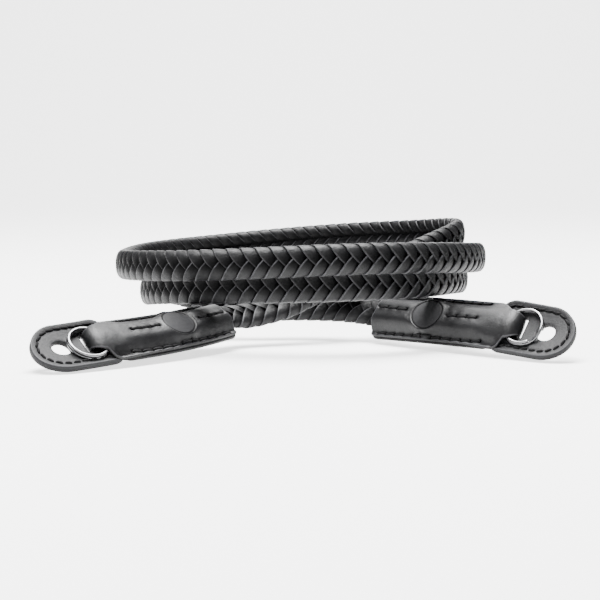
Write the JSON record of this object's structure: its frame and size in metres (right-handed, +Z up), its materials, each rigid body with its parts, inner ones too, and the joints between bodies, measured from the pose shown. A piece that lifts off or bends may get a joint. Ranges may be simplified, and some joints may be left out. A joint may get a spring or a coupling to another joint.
{
  "type": "braided leather camera strap",
  "caption": "Coiled flat-braided leather carrying strap with a folded leather end tab, a stitched protective flap and a split ring at each end.",
  "frame": {"origin": "centre of the whole strap's bounding box, at its underside on the table", "axes": "+X to the right across the picture and along the longest side, -Y towards the viewer, +Z up"},
  "size_m": [0.1847, 0.1789, 0.0435],
  "materials": {
    "braided_leather": "satin black laces",
    "smooth_leather": "smooth satin black",
    "flap_leather": "matt black, fine grain",
    "steel": "polished"
  },
  "bodies": {
    "root": {"braid": "braided_leather", "left_tab": "smooth_leather", "left_flap_top": "flap_leather", "left_flap_back": "flap_leather", "left_ring": "steel", "right_tab": "smooth_leather", "right_flap_top": "flap_leather", "right_flap_back": "flap_leather", "right_ring": "steel"}
  },
  "joints": []
}
